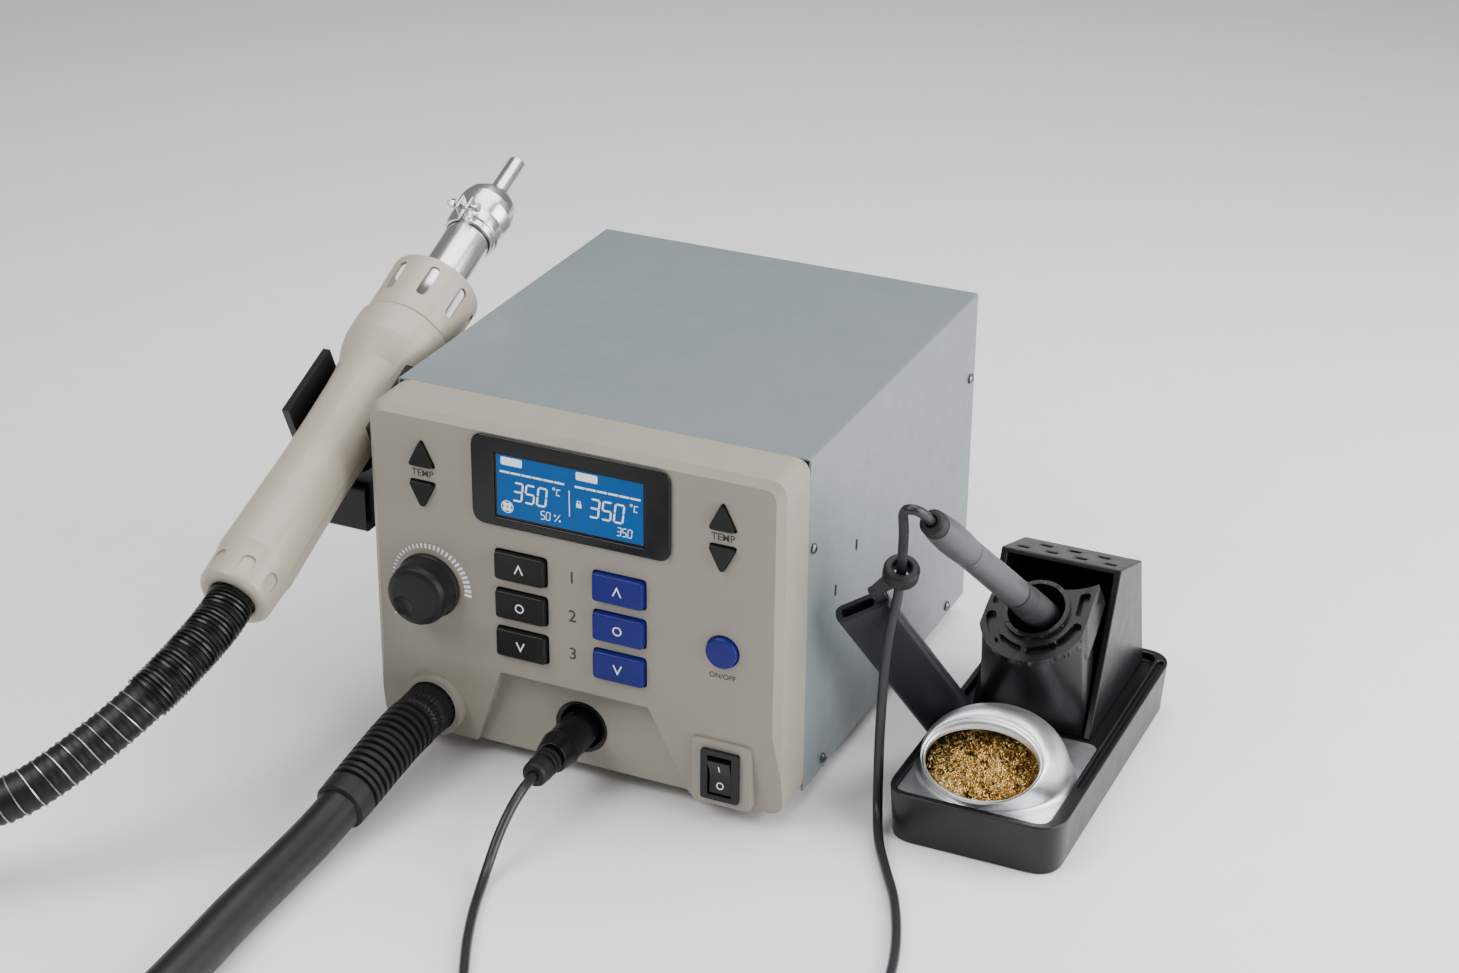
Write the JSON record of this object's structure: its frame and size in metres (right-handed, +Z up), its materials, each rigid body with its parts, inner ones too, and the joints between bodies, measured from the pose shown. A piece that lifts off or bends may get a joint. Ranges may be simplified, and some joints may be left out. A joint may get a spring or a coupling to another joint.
{
  "type": "soldering iron station",
  "caption": "Rework station: control unit with display, keys and dial, hot-air gun on a hose in a side cradle, soldering iron on a lead in a separate stand with a wool cleaner.",
  "frame": {"origin": "middle of the footprint of the rigid pieces, on the table", "axes": "+X to the right of the front panel, +Y from the front panel to the back, +Z up"},
  "size_m": [0.5603, 0.7111, 0.2621],
  "materials": {
    "bezel": "fine satin texture",
    "case_paint": "satin powder coat",
    "steel": "satin",
    "rubber": "satin",
    "black_plastic": "satin",
    "black_key": "satin",
    "blue_key": "satin",
    "display": "glossy",
    "board": "satin",
    "winding": "varnished",
    "gun_plastic": "satin",
    "ceramic": "matt",
    "hose": "satin",
    "iron_plastic": "satin",
    "grip": "matt, ribbed",
    "tip": "polished",
    "stand_black": "satin",
    "cover_steel": "brushed",
    "wool": "bright"
  },
  "bodies": {
    "station": {"front_bezel": "bezel", "case_cover": "case_paint", "chassis_tray": "steel", "rear_panel": "case_paint", "cover_screw_1": "steel", "cover_screw_2": "steel", "cover_screw_3": "steel", "cover_screw_4": "steel", "case_foot_1": "rubber", "case_foot_2": "rubber", "case_foot_3": "rubber", "case_foot_4": "rubber", "display_frame": "black_plastic", "display_panel": "display", "air_flow_potentiometer": "steel", "rocker_frame": "black_plastic", "front_circuit_board": "board", "main_circuit_board": "board", "transformer": "winding", "blower_housing": "black_plastic", "air_duct": "rubber", "hose_collar": "steel", "iron_socket": "black_plastic", "power_inlet": "black_plastic", "gun_cradle": "black_plastic", "stand_base": "stand_black", "brass_wool": "wool", "tip_rack": "stand_black", "iron_holder": "stand_black", "lead_arm": "iron_plastic", "hose_coupling": "black_plastic", "hot_air_hose": "hose", "iron_lead_plug_end": "rubber", "iron_lead_iron_end": "rubber", "iron_lead_coil": "rubber"},
    "gun": {"gun_handle": "gun_plastic", "gun_shroud": "gun_plastic", "heater_tube": "steel", "heater_core": "ceramic"},
    "nozzle": {"gun_nozzle": "steel"},
    "nozzle_clamp_screw": {"nozzle_screw": "steel"},
    "iron": {"iron_handle": "iron_plastic", "iron_grip": "grip", "iron_tip": "tip"},
    "plug": {"iron_plug": "black_plastic"},
    "rocker": {"power_rocker": "black_plastic"},
    "knob": {"air_flow_knob": "black_plastic"},
    "rotor": {"blower_rotor": "black_plastic"},
    "cover": {"wool_cover": "cover_steel"},
    "black_key_up": {"black_key_up": "black_key"},
    "black_key_middle": {"black_key_middle": "black_key"},
    "black_key_down": {"black_key_down": "black_key"},
    "blue_key_up": {"blue_key_up": "blue_key"},
    "blue_key_middle": {"blue_key_middle": "blue_key"},
    "blue_key_down": {"blue_key_down": "blue_key"},
    "arrow_key_left_up": {"arrow_key_left_up": "black_key"},
    "arrow_key_left_down": {"arrow_key_left_down": "black_key"},
    "arrow_key_right_up": {"arrow_key_right_up": "black_key"},
    "arrow_key_right_down": {"arrow_key_right_down": "black_key"},
    "round_key": {"round_key": "blue_key"}
  },
  "joints": [
    {"name": "gun_lift", "type": "slide", "parent": "station", "child": "gun", "axis": [0, -0.3955, 0.9184], "range_m": [0, 0.12], "deforming": ["hot_air_hose"]},
    {"name": "nozzle_slide", "type": "slide", "parent": "gun", "child": "nozzle", "axis": [0, 0.9184, 0.3955], "range_m": [0, 0.04]},
    {"name": "nozzle_screw_turn", "type": "hinge", "parent": "nozzle", "child": "nozzle_clamp_screw", "pos_m": [-0.199, 0.07996, 0.25147], "axis": [1, 0, 0], "range_deg": [0, 360]},
    {"name": "iron_pull", "type": "slide", "parent": "station", "child": "iron", "axis": [-0.1786, -0.7249, 0.6653], "range_m": [0, 0.085], "deforming": ["iron_lead_iron_end"]},
    {"name": "plug_pull", "type": "slide", "parent": "station", "child": "plug", "axis": [0, -1, 0], "range_m": [0, 0.02], "deforming": ["iron_lead_plug_end"]},
    {"name": "black_key_up_press", "type": "slide", "parent": "station", "child": "black_key_up", "axis": [0, 1, 0], "range_m": [0, 0.0015], "stiffness_N_per_m": 800},
    {"name": "black_key_middle_press", "type": "slide", "parent": "station", "child": "black_key_middle", "axis": [0, 1, 0], "range_m": [0, 0.0015], "stiffness_N_per_m": 800},
    {"name": "black_key_down_press", "type": "slide", "parent": "station", "child": "black_key_down", "axis": [0, 1, 0], "range_m": [0, 0.0015], "stiffness_N_per_m": 800},
    {"name": "blue_key_up_press", "type": "slide", "parent": "station", "child": "blue_key_up", "axis": [0, 1, 0], "range_m": [0, 0.0015], "stiffness_N_per_m": 800},
    {"name": "blue_key_middle_press", "type": "slide", "parent": "station", "child": "blue_key_middle", "axis": [0, 1, 0], "range_m": [0, 0.0015], "stiffness_N_per_m": 800},
    {"name": "blue_key_down_press", "type": "slide", "parent": "station", "child": "blue_key_down", "axis": [0, 1, 0], "range_m": [0, 0.0015], "stiffness_N_per_m": 800},
    {"name": "arrow_key_left_up_press", "type": "slide", "parent": "station", "child": "arrow_key_left_up", "axis": [0, 1, 0], "range_m": [0, 0.0015], "stiffness_N_per_m": 800},
    {"name": "arrow_key_left_down_press", "type": "slide", "parent": "station", "child": "arrow_key_left_down", "axis": [0, 1, 0], "range_m": [0, 0.0015], "stiffness_N_per_m": 800},
    {"name": "arrow_key_right_up_press", "type": "slide", "parent": "station", "child": "arrow_key_right_up", "axis": [0, 1, 0], "range_m": [0, 0.0015], "stiffness_N_per_m": 800},
    {"name": "arrow_key_right_down_press", "type": "slide", "parent": "station", "child": "arrow_key_right_down", "axis": [0, 1, 0], "range_m": [0, 0.0015], "stiffness_N_per_m": 800},
    {"name": "round_key_press", "type": "slide", "parent": "station", "child": "round_key", "axis": [0, 1, 0], "range_m": [0, 0.0015], "stiffness_N_per_m": 800},
    {"name": "rocker_tilt", "type": "hinge", "parent": "station", "child": "rocker", "pos_m": [0.0478, -0.0958, 0.031], "axis": [-1, 0, 0], "range_deg": [0, 16]},
    {"name": "knob_turn", "type": "hinge", "parent": "station", "child": "knob", "pos_m": [-0.126, -0.1058, 0.1058], "axis": [0, 1, 0], "range_deg": [0, 270]},
    {"name": "blower_spin", "type": "hinge", "parent": "station", "child": "rotor", "pos_m": [-0.127, 0.0242, 0.066], "axis": [1, 0, 0], "continuous": true},
    {"name": "cover_lift", "type": "slide", "parent": "station", "child": "cover", "axis": [0, 0, 1], "range_m": [0, 0.01]}
  ]
}
